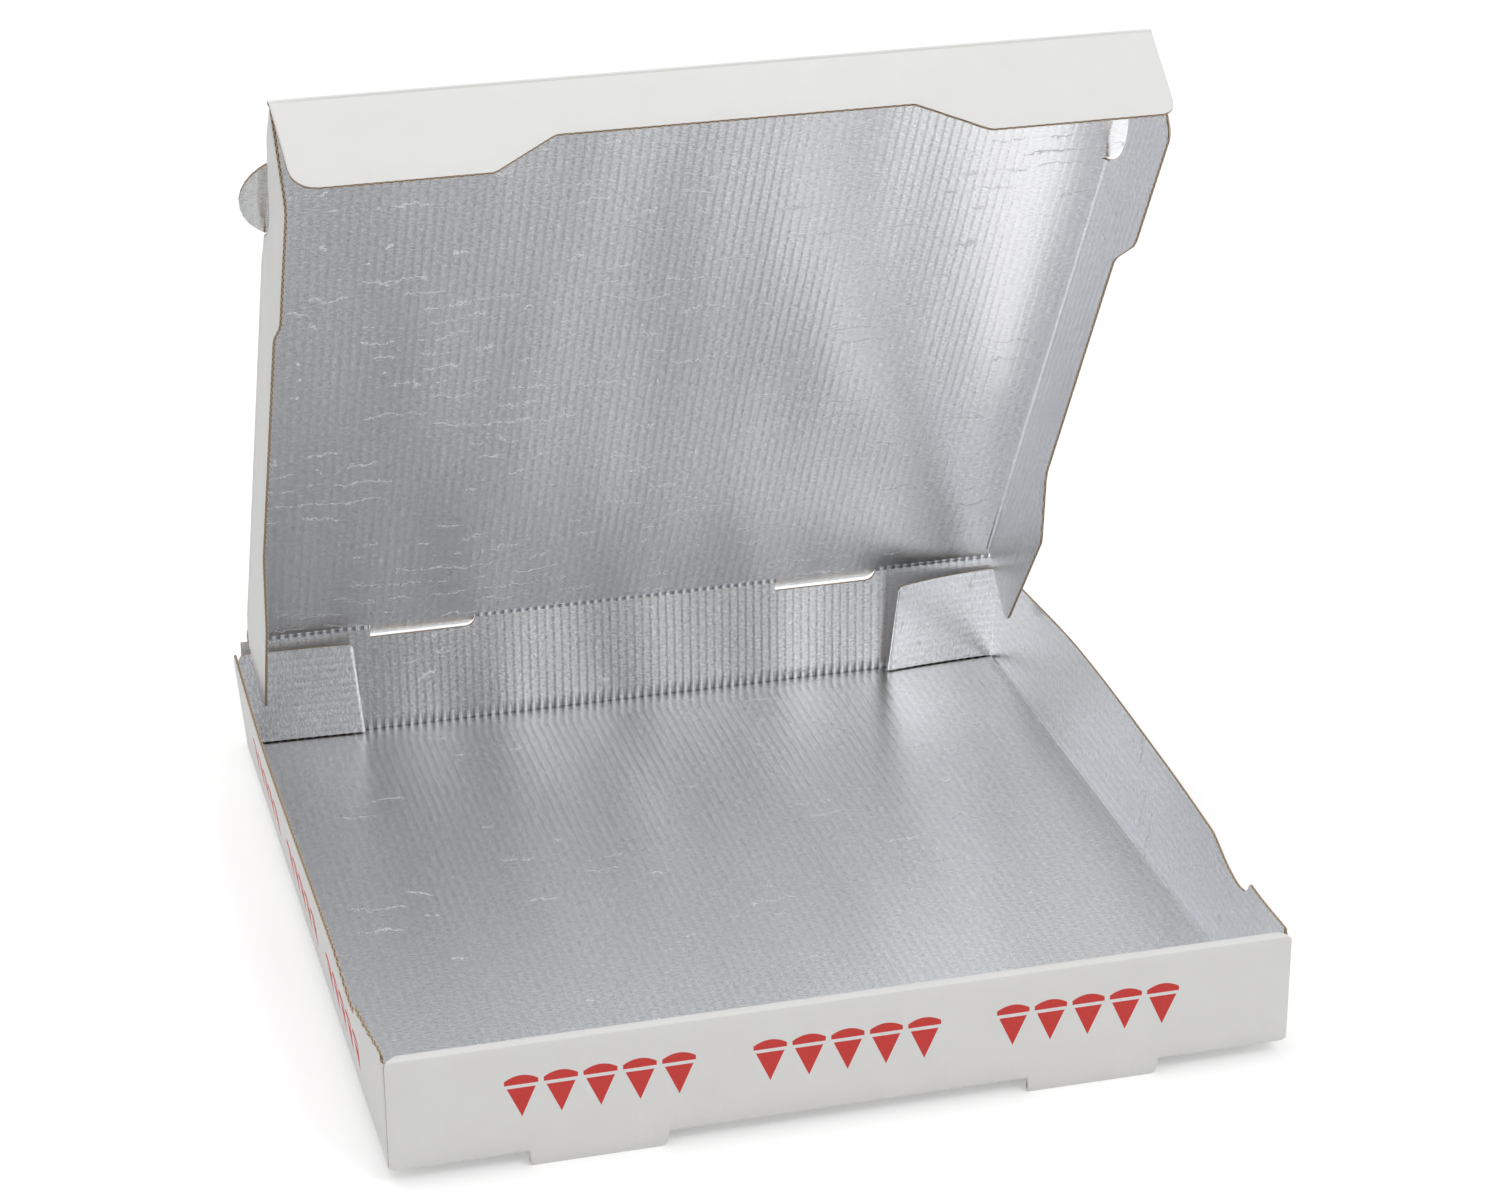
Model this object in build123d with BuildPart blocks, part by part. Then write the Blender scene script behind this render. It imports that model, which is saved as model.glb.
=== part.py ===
"""Pizza box, 30 x 30 x 4 cm: one die-cut sheet of foil-lined E-flute board, folded
into a tray with a hinged lid. The lid stands part open, leaning over the tray.

The sheet is cut here only where it turns: the tray, the lid's panel and the lid's
three flaps. Millimetres, +X right, +Y back, +Z up, origin at the centre of the
tray's underside.
"""

import os
from math import cos, radians, sin

from build123d import *

os.makedirs("parts", exist_ok=True)

# The board
board = 1.5  # E-flute with its white liner and foil
layer_gap = 0.2  # between two layers that lie together
fold_radius = 1.2  # outside of a fold

# The tray
tray_width = 300.0  # outside, at the foot of the side walls
tray_depth = 311.0  # outside, front face to rear face
wall_height = 40.0  # front and side walls
hinge_height = 45.0  # rear wall, up to the lid's fold
bow_stations = (0.0, 0.11, 0.4, 0.74, 1.0)  # shares of the side wall's length
left_bow = (0.5, 3.6, 4.4, 4.8, 3.4)  # how far its top edge leans out there
right_bow = (0.5, 0.6, 4.6, 7.0, 3.0)

# The roll-over front wall
strip_left_radius = 4.5  # inner left corner of the top strip
strip_right_chamfer = 3.0
panel_end_gap = 0.8  # inner panel's ends to the side walls
catch_tab_length = 45.0  # side wall's tab, held inside the front wall
tab_clip = 2.0  # clipped corner of each tab
tongue_inner = 60.0  # tongues under the front wall, from the centre line
tongue_outer = 105.0
tongue_length = 4.8
tongue_left_radius = 1.2
tongue_right_radius = 3.0
slot_depth = 5.0  # slot that each tongue leaves in the bottom
lock_tab_length = 1.3  # inner panel's tab, down into that slot
lock_tab_gap = 0.6  # at each end of the slot
perforation_length = 2.8
perforation_pitch = 6.0
perforation_depth = 0.8
left_perforations = 9
right_perforations = 6
perforation_margin = 7.0  # first cut to the end of the wall

# Notch for the lid's ear in each side wall, measured from the front face
notch_start = 36.0
notch_low = 47.0
notch_end = 75.0
notch_depth = 6.0

# Rear corner tabs
corner_tab_length = 44.0
corner_tab_foot = 2.0
corner_tab_drop = 0.4  # its top edge below the side wall's
corner_tab_radius = 4.0
corner_tab_angle = 1.5  # free edge stands off the rear wall

# Folds between the pieces that turn
crease_gap = 0.16  # fold line to the edge of each panel
crease_edge = 0.1  # thickness left at that edge
hinge_score = 0.7  # width of the crushed score on each side of a fold
front_score = 1.2
side_score = 2.4

# Lid hinge
hinge_slot_inner = 59.5  # slots in the rear wall, from the centre line
hinge_slot_outer = 100.5
hinge_slot_depth = 5.0
hinge_slot_radius = 4.0
hinge_tongue_gap = 0.4  # around the lid's tongue in its slot

# The lid
lid_angle = 58.9  # open from level
lid_side_gap = 0.75  # to the tray's side wall on each side
lid_length = 300.0  # hinge fold to front fold
ear_start = 236.6  # from the hinge fold
ear_end = 270.0
ear_reach = 8.9
ear_gap = 0.8  # around the ear in the side flap's hole
ear_relief = 1.4  # how far the score runs on past each end of the ear

# Front flap
front_depth = 38.0
front_recess_depth = 24.5
front_recess_half = 59.3
front_slope_half = 81.9
front_end_taper = 2.0
front_left_radius = 8.0
front_right_radius = 5.0
front_recess_radius = 4.0

# Side flaps: distances from the hinge fold, and depths below the lid
flap_splay = 0.6  # leans out from square
flap_rear = 5.5
flap_tail_depth = 36.5
flap_heel = 59.0
flap_heel_depth = 37.5
flap_waist_start = 87.0
flap_waist_end = 210.0
flap_waist_depth = 25.5
flap_toe = 232.0
flap_front_gap = 2.5  # to the front fold, at the lid
flap_front_slope = 9.5
flap_depth = 36.0
flap_corner_radius = 4.0

half_width = tray_width / 2
half_depth = tray_depth / 2
inner_half = half_width - board
front_thickness = 3 * board + 2 * layer_gap
catch_top = wall_height - board - layer_gap
hinge_y = half_depth - board / 2
lid_half = inner_half - lid_side_gap
fold_half = lid_half - board / 2  # fold line of each side flap
ear_middle = (ear_start + ear_end) / 2
tongue_start = hinge_slot_inner + hinge_tongue_gap
tongue_end = hinge_slot_outer - hinge_tongue_gap

swing = radians(lid_angle)
lid_plane = Plane(
    origin=(0, hinge_y, hinge_height),
    x_dir=(1, 0, 0),
    z_dir=(0, -sin(swing), -cos(swing)),
)
front_plane = Plane(
    origin=lid_plane.from_local_coords((0, lid_length, 0)),
    x_dir=(1, 0, 0),
    z_dir=(0, cos(swing), -sin(swing)),
)


def bowed_wall(side, bow):
    """Side wall: straight at its foot, leaning out along its top edge."""
    start = -half_depth + board + layer_gap
    length = tray_depth - 2 * (board + layer_gap)
    sections = []
    for share, lean in zip(bow_stations, bow):
        with BuildSketch(Plane.XZ.offset(-(start + share * length))) as section:
            with BuildLine():
                Polyline(
                    (side * inner_half, 0),
                    (side * (inner_half + lean), wall_height),
                    (side * (half_width + lean), wall_height),
                    (side * half_width, 0),
                    close=True,
                )
            make_face()
            foot = vertices().sort_by(Axis.Y)[:2].sort_by(Axis.X)
            fillet(foot[-1] if side > 0 else foot[0], fold_radius)
        sections.append(section.sketch)
    loft(sections)


def score(panel, start, outward, along, length, width):
    """Crush both faces of a panel down to a thin edge at its fold."""
    section_plane = Plane(origin=panel.from_local_coords(start), x_dir=outward, z_dir=along)
    with BuildSketch(section_plane) as section:
        for face in (-1, 1):
            with BuildLine():
                Polyline(
                    (0, face * crease_edge / 2),
                    (-width, face * board / 2),
                    (-width, face * board),
                    (board, face * board),
                    (board, face * crease_edge / 2),
                    close=True,
                )
            make_face()
    extrude(section.sketch, amount=length, mode=Mode.SUBTRACT)


# The tray: bottom, four walls and their tabs, one sheet
with BuildPart() as tray:
    with BuildSketch():
        Rectangle(tray_width - 2 * fold_radius, tray_depth - 2 * fold_radius)
    extrude(amount=board)

    bowed_wall(-1, left_bow)
    bowed_wall(1, right_bow)

    # The side walls' front ends stop under the top strip
    with BuildSketch(Plane.XZ.offset(half_depth - front_thickness - layer_gap)):
        with Locations((0, wall_height)):
            Rectangle(2 * tray_width, 2 * (wall_height - catch_top))
    extrude(amount=front_thickness, mode=Mode.SUBTRACT)

    # Notch for the lid's ear in each side wall
    with BuildSketch(Plane.YZ.offset(-tray_width)):
        with BuildLine():
            low = wall_height - notch_depth
            notch_curve = Spline(
                (-half_depth + notch_start, wall_height),
                (-half_depth + notch_start * 0.6 + notch_low * 0.4, low + notch_depth * 0.25),
                (-half_depth + notch_low, low),
                (-half_depth + (notch_low + notch_end) / 2, low + notch_depth * 0.4),
                (-half_depth + notch_end, wall_height),
            )
            Polyline(
                notch_curve @ 1,
                (-half_depth + notch_end, wall_height + board),
                (-half_depth + notch_start, wall_height + board),
                notch_curve @ 0,
            )
        make_face()
    extrude(amount=2 * tray_width, mode=Mode.SUBTRACT)

    # Rear wall, rounded at its foot and scored along the hinge
    with BuildSketch(Plane.YZ.offset(-half_width)):
        with BuildLine():
            Polyline(
                (half_depth - board, 0),
                (half_depth - board, hinge_height - crease_gap - hinge_score),
                (hinge_y - crease_edge / 2, hinge_height - crease_gap),
                (hinge_y + crease_edge / 2, hinge_height - crease_gap),
                (half_depth, hinge_height - crease_gap - hinge_score),
                (half_depth, 0),
                close=True,
            )
        make_face()
        fillet(vertices().sort_by(Axis.Y)[:2].sort_by(Axis.X)[-1], fold_radius)
    extrude(amount=tray_width)

    # Slots for the lid's tongues in the rear wall
    slot_width = hinge_slot_outer - hinge_slot_inner
    for side in (-1, 1):
        with BuildSketch(Plane.XZ.offset(-half_depth - layer_gap)):
            with Locations((side * (hinge_slot_inner + hinge_slot_outer) / 2, hinge_height)):
                Rectangle(slot_width, 2 * hinge_slot_depth)
                fillet(vertices().sort_by(Axis.Y)[:2].sort_by(Axis.X)[-1], hinge_slot_radius)
        extrude(amount=board + 2 * layer_gap, mode=Mode.SUBTRACT)

    # Rear corner tabs, folded in from the side walls
    tab_turn = radians(corner_tab_angle)
    tab_top = wall_height - corner_tab_drop
    for side, bow in ((-1, left_bow), (1, right_bow)):
        tab_plane = Plane(
            origin=(side * (half_width - board / 2), half_depth - board - layer_gap, 0),
            x_dir=(-side * cos(tab_turn), -sin(tab_turn), 0),
            z_dir=(-sin(tab_turn), side * cos(tab_turn), 0),
        )
        with BuildSketch(tab_plane):
            with BuildLine():
                Polyline(
                    (0, corner_tab_foot),
                    (-bow[-1], tab_top),
                    (corner_tab_length, tab_top),
                    (corner_tab_length, corner_tab_foot + tab_clip),
                    (corner_tab_length - tab_clip, corner_tab_foot),
                    close=True,
                )
            make_face()
            fillet(vertices().sort_by(Axis.X)[0], corner_tab_radius)
        extrude(amount=-side * board)

    # Front wall: up, over and down again, as one strip of board
    with BuildSketch(Plane.YZ.offset(-half_width)):
        with BuildLine():
            Polyline(
                (-half_depth, 0),
                (-half_depth, wall_height),
                (-half_depth + front_thickness, wall_height),
                (-half_depth + front_thickness, wall_height - board),
                (-half_depth + board, wall_height - board),
                (-half_depth + board, 0),
                close=True,
            )
        make_face()
        fillet(vertices().sort_by(Axis.Y)[:2].sort_by(Axis.X)[0], fold_radius)
        fillet(vertices().sort_by(Axis.Y)[-2:], fold_radius / 2)
    extrude(amount=tray_width)
    with BuildSketch(Plane.XZ.offset(half_depth - front_thickness)):
        with Locations((0, wall_height / 2)):
            Rectangle(2 * (inner_half - panel_end_gap), wall_height - 2 * board)
    extrude(amount=board)

    # Ends of the top strip
    inner_edge = -half_depth + front_thickness
    with BuildSketch(Plane.XY.offset(wall_height - board)):
        with BuildLine():
            left_end = (-half_width, inner_edge - strip_left_radius)
            left_turn = (-half_width + strip_left_radius, inner_edge)
            Polyline(left_end, (-half_width, inner_edge), left_turn)
            RadiusArc(left_end, left_turn, strip_left_radius)
        make_face()
        with BuildLine():
            Polyline(
                (half_width, inner_edge - strip_right_chamfer),
                (half_width, inner_edge),
                (half_width - strip_right_chamfer, inner_edge),
                close=True,
            )
        make_face()
    extrude(amount=board, mode=Mode.SUBTRACT)

    # Slots in the bottom, the tongues that came out of them, and the lock tabs
    tongue_width = tongue_outer - tongue_inner
    tongue_top = board + fold_radius
    for side in (-1, 1):
        tongue_centre = side * (tongue_inner + tongue_outer) / 2
        with BuildSketch():
            with Locations((tongue_centre, -half_depth + board + slot_depth / 2)):
                Rectangle(tongue_width, slot_depth)
        extrude(amount=board, mode=Mode.SUBTRACT)
        with BuildSketch(Plane.XZ.offset(half_depth - board)):
            with Locations((tongue_centre, (tongue_top - tongue_length) / 2)):
                Rectangle(tongue_width, tongue_top + tongue_length)
            low_ends = vertices().sort_by(Axis.Y)[:2].sort_by(Axis.X)
            fillet(low_ends[0], tongue_left_radius)
            low_ends = vertices().sort_by(Axis.Y)[:3].sort_by(Axis.X)
            fillet(low_ends[-1], tongue_right_radius)
        extrude(amount=board)
        with BuildSketch(Plane.XZ.offset(half_depth - front_thickness)):
            with Locations((tongue_centre, board - lock_tab_length / 2)):
                Rectangle(tongue_width - 2 * lock_tab_gap, lock_tab_length)
                chamfer(vertices().sort_by(Axis.Y)[:2], lock_tab_length / 2)
        extrude(amount=board)

    # Front tabs of the side walls, caught inside the front wall
    for side in (-1, 1):
        with BuildSketch(Plane.XZ.offset(half_depth - 2 * board - layer_gap)):
            with BuildLine():
                Polyline(
                    (side * (half_width - board / 3), board + layer_gap),
                    (side * (half_width - board / 3), catch_top),
                    (side * (half_width - catch_tab_length), catch_top),
                    (side * (half_width - catch_tab_length), board + layer_gap + tab_clip),
                    (side * (half_width - catch_tab_length + tab_clip), board + layer_gap),
                    close=True,
                )
            make_face()
        extrude(amount=board)

    # Perforated fold along the top of the front wall
    for side, count in ((-1, left_perforations), (1, right_perforations)):
        middle = half_width - perforation_margin - (count - 1) * perforation_pitch / 2
        with Locations((side * middle, -half_depth, wall_height)):
            with GridLocations(perforation_pitch, perforation_pitch, count, 1):
                Box(
                    perforation_length,
                    2 * perforation_depth,
                    2 * perforation_depth,
                    mode=Mode.SUBTRACT,
                )
tray.part.label = "tray"
export_step(tray.part, "parts/tray.step")


# The lid's panel, with its ears and its hinge tongues
with BuildPart() as lid:
    with BuildSketch(lid_plane.offset(-board / 2)):
        with Locations((0, lid_length / 2)):
            Rectangle(2 * (fold_half - crease_gap), lid_length - 2 * crease_gap)
        for side in (-1, 1):
            with BuildLine():
                ThreePointArc(
                    (side * fold_half, ear_start),
                    (side * (fold_half + ear_reach), ear_middle),
                    (side * fold_half, ear_end),
                )
                Polyline(
                    (side * fold_half, ear_end),
                    (side * (fold_half - side_score), ear_end),
                    (side * (fold_half - side_score), ear_start),
                    (side * fold_half, ear_start),
                )
            make_face()
    extrude(amount=board)
    with BuildSketch(lid_plane.offset(-board / 2)):
        for side in (-1, 1):
            tongue_reach = hinge_slot_depth - hinge_tongue_gap
            with BuildSketch(mode=Mode.PRIVATE) as tongue:
                tongue_middle = (hinge_score - tongue_reach) / 2
                with Locations((side * (tongue_start + tongue_end) / 2, tongue_middle)):
                    Rectangle(tongue_end - tongue_start, tongue_reach + hinge_score)
                round_corner = vertices().sort_by(Axis.Y)[:2].sort_by(Axis.X)[-1]
                fillet(round_corner, hinge_slot_radius - hinge_tongue_gap)
            add(tongue.sketch)
    extrude(amount=board)

    panel_half = fold_half - crease_gap
    across = lid_plane.x_dir
    down = lid_plane.y_dir
    for start, end in (
        (-panel_half, -tongue_end),
        (-tongue_start, tongue_start),
        (tongue_end, panel_half),
    ):
        score(lid_plane, (start, crease_gap, 0), -down, across, end - start, hinge_score)
    score(
        lid_plane,
        (-panel_half, lid_length - crease_gap, 0),
        down,
        across,
        2 * panel_half,
        front_score,
    )
    for side in (-1, 1):
        for start, end in (
            (crease_gap, ear_start + ear_relief),
            (ear_end - ear_relief, lid_length - crease_gap),
        ):
            score(
                lid_plane,
                (side * panel_half, start, 0),
                side * across,
                down,
                end - start,
                side_score,
            )
lid.part.label = "lid"
export_step(lid.part, "parts/lid.step")


# Front flap, with the wide recess between its two ends
with BuildPart() as front_flap:
    with BuildSketch(front_plane.offset(-board / 2)):
        with BuildLine():
            Polyline(
                (-lid_half, crease_gap),
                (-lid_half + front_end_taper, front_depth),
                (-front_slope_half, front_depth),
                (-front_recess_half, front_recess_depth),
                (front_recess_half, front_recess_depth),
                (front_slope_half, front_depth),
                (lid_half - front_end_taper, front_depth),
                (lid_half, crease_gap),
                close=True,
            )
        make_face()
        corners = vertices().sort_by(Axis.Y)
        fillet(corners[2:4], front_recess_radius)
        low_ends = vertices().sort_by(Axis.X)
        fillet(low_ends[1], front_left_radius)
        low_ends = vertices().sort_by(Axis.X)
        fillet(low_ends[-2], front_right_radius)
    extrude(amount=board)
    score(
        front_plane,
        (-lid_half - board, crease_gap, 0),
        -front_plane.y_dir,
        front_plane.x_dir,
        2 * (lid_half + board),
        front_score,
    )
front_flap.part.label = "lid_front_flap"
export_step(front_flap.part, "parts/lid_front_flap.step")


def side_flap(side):
    """Dust flap: deep at both ends, with a waist and the hole its ear leaves."""
    lean = radians(flap_splay)
    panel = Plane(
        origin=lid_plane.from_local_coords((side * fold_half, 0, 0)),
        x_dir=lid_plane.y_dir,
        z_dir=lid_plane.x_dir * cos(lean) - lid_plane.z_dir * (side * sin(lean)),
    )
    flap_front = lid_length - flap_front_gap
    with BuildSketch(panel.offset(-board / 2)) as outline:
        with BuildLine():
            Polyline(
                (flap_rear, crease_gap),
                (flap_rear, flap_tail_depth),
                (flap_heel, flap_heel_depth),
                (flap_waist_start, flap_waist_depth),
                (flap_waist_end, flap_waist_depth),
                (flap_toe, flap_depth),
                (flap_front - flap_front_slope, flap_depth),
                (flap_front, crease_gap),
                close=True,
            )
        make_face()
        fillet(vertices().sort_by(Axis.Y)[2:], flap_corner_radius)
        with BuildLine():
            hole_start = (ear_start - ear_gap, 0)
            hole_end = (ear_end + ear_gap, 0)
            ThreePointArc(hole_start, (ear_middle, ear_reach + ear_gap), hole_end)
            Polyline(hole_end, (ear_end + ear_gap, -board), (ear_start - ear_gap, -board), hole_start)
        make_face(mode=Mode.SUBTRACT)
    extrude(outline.sketch, amount=board)
    for start, end in (
        (flap_rear - board, ear_start + ear_relief),
        (ear_end - ear_relief, lid_length),
    ):
        score(panel, (start, crease_gap, 0), -panel.y_dir, panel.x_dir, end - start, side_score)


with BuildPart() as left_flap:
    side_flap(-1)
left_flap.part.label = "lid_left_flap"
export_step(left_flap.part, "parts/lid_left_flap.step")

with BuildPart() as right_flap:
    side_flap(1)
right_flap.part.label = "lid_right_flap"
export_step(right_flap.part, "parts/lid_right_flap.step")
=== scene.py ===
"""Foil-lined pizza box: the board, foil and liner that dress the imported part.

The part's own solids give every place and motion. Here each panel is laid flat as
one sheet, trimmed to its cut, folded up and given the board's thickness, so foil,
liner and raw edge are where the real board has them.
"""

from math import asin, atan2, cos, degrees, exp, pi, radians, sin, sqrt

import bpy
from mathutils import Matrix, Vector


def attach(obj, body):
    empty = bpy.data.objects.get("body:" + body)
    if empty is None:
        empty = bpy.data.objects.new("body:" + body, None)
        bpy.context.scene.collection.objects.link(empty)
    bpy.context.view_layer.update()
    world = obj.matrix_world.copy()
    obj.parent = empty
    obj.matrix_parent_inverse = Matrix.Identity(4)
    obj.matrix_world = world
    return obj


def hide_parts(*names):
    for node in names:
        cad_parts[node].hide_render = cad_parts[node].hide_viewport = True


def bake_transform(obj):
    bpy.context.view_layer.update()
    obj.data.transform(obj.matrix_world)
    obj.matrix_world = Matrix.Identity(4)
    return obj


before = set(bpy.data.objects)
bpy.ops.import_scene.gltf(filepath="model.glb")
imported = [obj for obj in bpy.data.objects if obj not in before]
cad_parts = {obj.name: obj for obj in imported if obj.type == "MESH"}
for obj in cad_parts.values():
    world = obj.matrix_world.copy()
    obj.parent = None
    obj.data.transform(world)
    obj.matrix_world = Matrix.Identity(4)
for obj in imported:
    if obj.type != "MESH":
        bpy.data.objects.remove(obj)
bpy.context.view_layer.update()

MM = 0.001

# Sizes of the folded box in millimetres, as the part has them
BOARD = 1.5
LAYER_GAP = 0.2
HALF_W = 150.0
HALF_D = 155.5
WALL = 40.0
RISE = WALL - BOARD  # foil face of a wall, from the bottom to its top edge
HINGE = 45.0
INNER_W = HALF_W - BOARD
INNER_D = HALF_D - BOARD
FRONT_LAYERS = 4.9  # the double front wall, with the caught tabs inside
STRIP = 1.9  # foil face along the top of the front wall, from layer to layer
INNER_PANEL = 36.7  # down inside the front wall
BOW_AT = (0.0, 0.11, 0.4, 0.74, 1.0)  # along a side wall, whose top edge leans out there
LEFT_BOW = (0.5, 3.6, 4.4, 4.8, 3.4)
RIGHT_BOW = (0.5, 0.6, 4.6, 7.0, 3.0)
SLOT = (59.5, 100.5)  # slots for the lid's tongues, from the centre line
SLOT_DEPTH = 5.0
SLOT_RADIUS = 4.0
SLOT_GAP = 0.4
TONGUE = (60.0, 105.0)  # tongues under the front wall, and the slots they leave
TONGUE_DROP = 6.3  # from the bottom's foil face down to the tongue's tip
TONGUE_RADII = (1.2, 3.0)
LID_ANGLE = radians(58.9)
LID_LENGTH = 300.0
LID_HALF = 147.75
FOLD_HALF = LID_HALF - BOARD / 2
HINGE_Y = HALF_D - BOARD / 2
LID_CORNERS = (5.3, 297.2)  # where the side flaps start and end along the lid
EAR = (236.6, 270.0)
EAR_REACH = 8.9
EAR_GAP = 0.8
FLAP_SPLAY = radians(0.6)
FLAP_ENDS = (5.5, 297.5)
HEEL = (59.0, 37.5)  # deepest corner of a side flap's tail
# From a turning fold to where the flat panel starts
FOLD_MARGIN = 2.0
SIDE_MARGIN = 2.7
HINGE_MARGIN = 1.4

FLUTE = 3.2  # from one ridge of the E-flute to the next
CELL = 5.0  # mesh spacing over the flat panels


# ---------------------------------------------------------------- materials


def srgb(hex_colour):
    """An sRGB hex value as the linear colour that nodes take."""
    channels = [int(hex_colour[i : i + 2], 16) / 255 for i in (1, 3, 5)]
    linear = [c / 12.92 if c <= 0.04045 else ((c + 0.055) / 1.055) ** 2.4 for c in channels]
    return (*linear, 1.0)


def plug(tree, made, inputs):
    """Fills sockets: with a plain value, or from a socket or another node's result."""
    for name, value in inputs.items():
        if isinstance(value, bpy.types.Node):
            value = next(out for out in value.outputs if out.enabled)
        if isinstance(value, bpy.types.NodeSocket):
            tree.links.new(value, made.inputs[name])
        else:
            made.inputs[name].default_value = value


def node(tree, kind, inputs=None, **settings):
    """Adds a node, with its settings and what goes into its sockets."""
    made = tree.nodes.new("ShaderNode" + kind)
    for name, value in settings.items():
        setattr(made, name, value)
    plug(tree, made, inputs or {})
    return made


def new_material(name):
    """A material with its node tree and its shader."""
    material = bpy.data.materials.new(name)
    material.use_nodes = True
    tree = material.node_tree
    return material, tree, tree.nodes["Principled BSDF"]


def flat_coordinates(tree):
    """Place on the flat sheet in millimetres, and its parts across and along the flutes."""
    uv = node(tree, "UVMap", uv_map="flat")
    scaled = node(tree, "VectorMath", {0: uv, "Scale": 1000.0}, operation="SCALE")
    split = node(tree, "SeparateXYZ", {0: scaled})
    return scaled, split.outputs[0], split.outputs[1]


def washboard(tree, across, wobble):
    """Ridges of the E-flutes under the sheet, from 0 to 1."""
    shifted = node(tree, "Math", {0: wobble, 1: 0.5, 2: across}, operation="MULTIPLY_ADD")
    turned = node(tree, "Math", {0: shifted, 1: 2 * pi / FLUTE}, operation="MULTIPLY")
    ridge = node(tree, "Math", {0: turned}, operation="SINE")
    doubled = node(tree, "Math", {0: turned, 1: 2.0}, operation="MULTIPLY")
    sharper = node(tree, "Math", {0: doubled}, operation="SINE")
    both = node(tree, "Math", {0: sharper, 1: 0.3, 2: ridge}, operation="MULTIPLY_ADD")
    return node(tree, "Math", {0: both, 1: 0.4, 2: 0.5}, operation="MULTIPLY_ADD")


def crack_rows(tree, place, run, rise, spacing, broken_from, wear):
    """Cracks of the foil: fine zigzag lines in broken rows that lie along run."""
    slow = node(tree, "TexNoise", {"Vector": place, "Scale": 0.012, "Detail": 2.0})
    fine = {"Vector": place, "Scale": 0.1, "Detail": 6.0, "Roughness": 0.72}
    zigzag = node(tree, "TexNoise", fine)
    straight = node(tree, "Math", {0: rise, 1: spacing}, operation="DIVIDE")
    rows = node(tree, "Math", {0: slow, 1: 26.0 / spacing, 2: straight}, operation="MULTIPLY_ADD")
    rows = node(tree, "Math", {0: zigzag, 1: 14.0 / spacing, 2: rows}, operation="MULTIPLY_ADD")
    part = node(tree, "Math", {0: rows}, operation="FRACT")
    from_middle = node(tree, "Math", {0: part, 1: 0.5}, operation="SUBTRACT")
    off_line = node(tree, "Math", {0: from_middle}, operation="ABSOLUTE")
    from_bright, to_bare = 0.1 / spacing, 0.38 / spacing
    falling = {"From Min": from_bright, "From Max": to_bare, "To Min": 1.0, "To Max": 0.0}
    thin = node(tree, "MapRange", {"Value": off_line, **falling})
    # One stretch of a row has cracked and the next has not
    stretched = node(tree, "Math", {0: run, 1: 0.035}, operation="MULTIPLY")
    which_row = node(tree, "Math", {0: rows}, operation="FLOOR")
    which = node(tree, "CombineXYZ", {0: stretched, 1: which_row, 2: spacing})
    ragged = {"Vector": which, "Scale": 1.0, "Detail": 6.0, "Roughness": 0.6}
    stretch = node(tree, "TexNoise", ragged)
    cloud = node(tree, "TexNoise", {"Vector": place, "Scale": 0.02, "Detail": 2.0})
    chance = node(tree, "Math", {0: cloud, 1: 0.5, 2: stretch}, operation="MULTIPLY_ADD")
    chance = node(tree, "Math", {0: wear, 1: 0.16, 2: chance}, operation="MULTIPLY_ADD")
    rising = {"From Min": broken_from - 0.01, "From Max": broken_from + 0.08}
    broken = node(tree, "MapRange", {"Value": chance, **rising})
    return node(tree, "Math", {0: thin, 1: broken}, operation="MULTIPLY")


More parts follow.
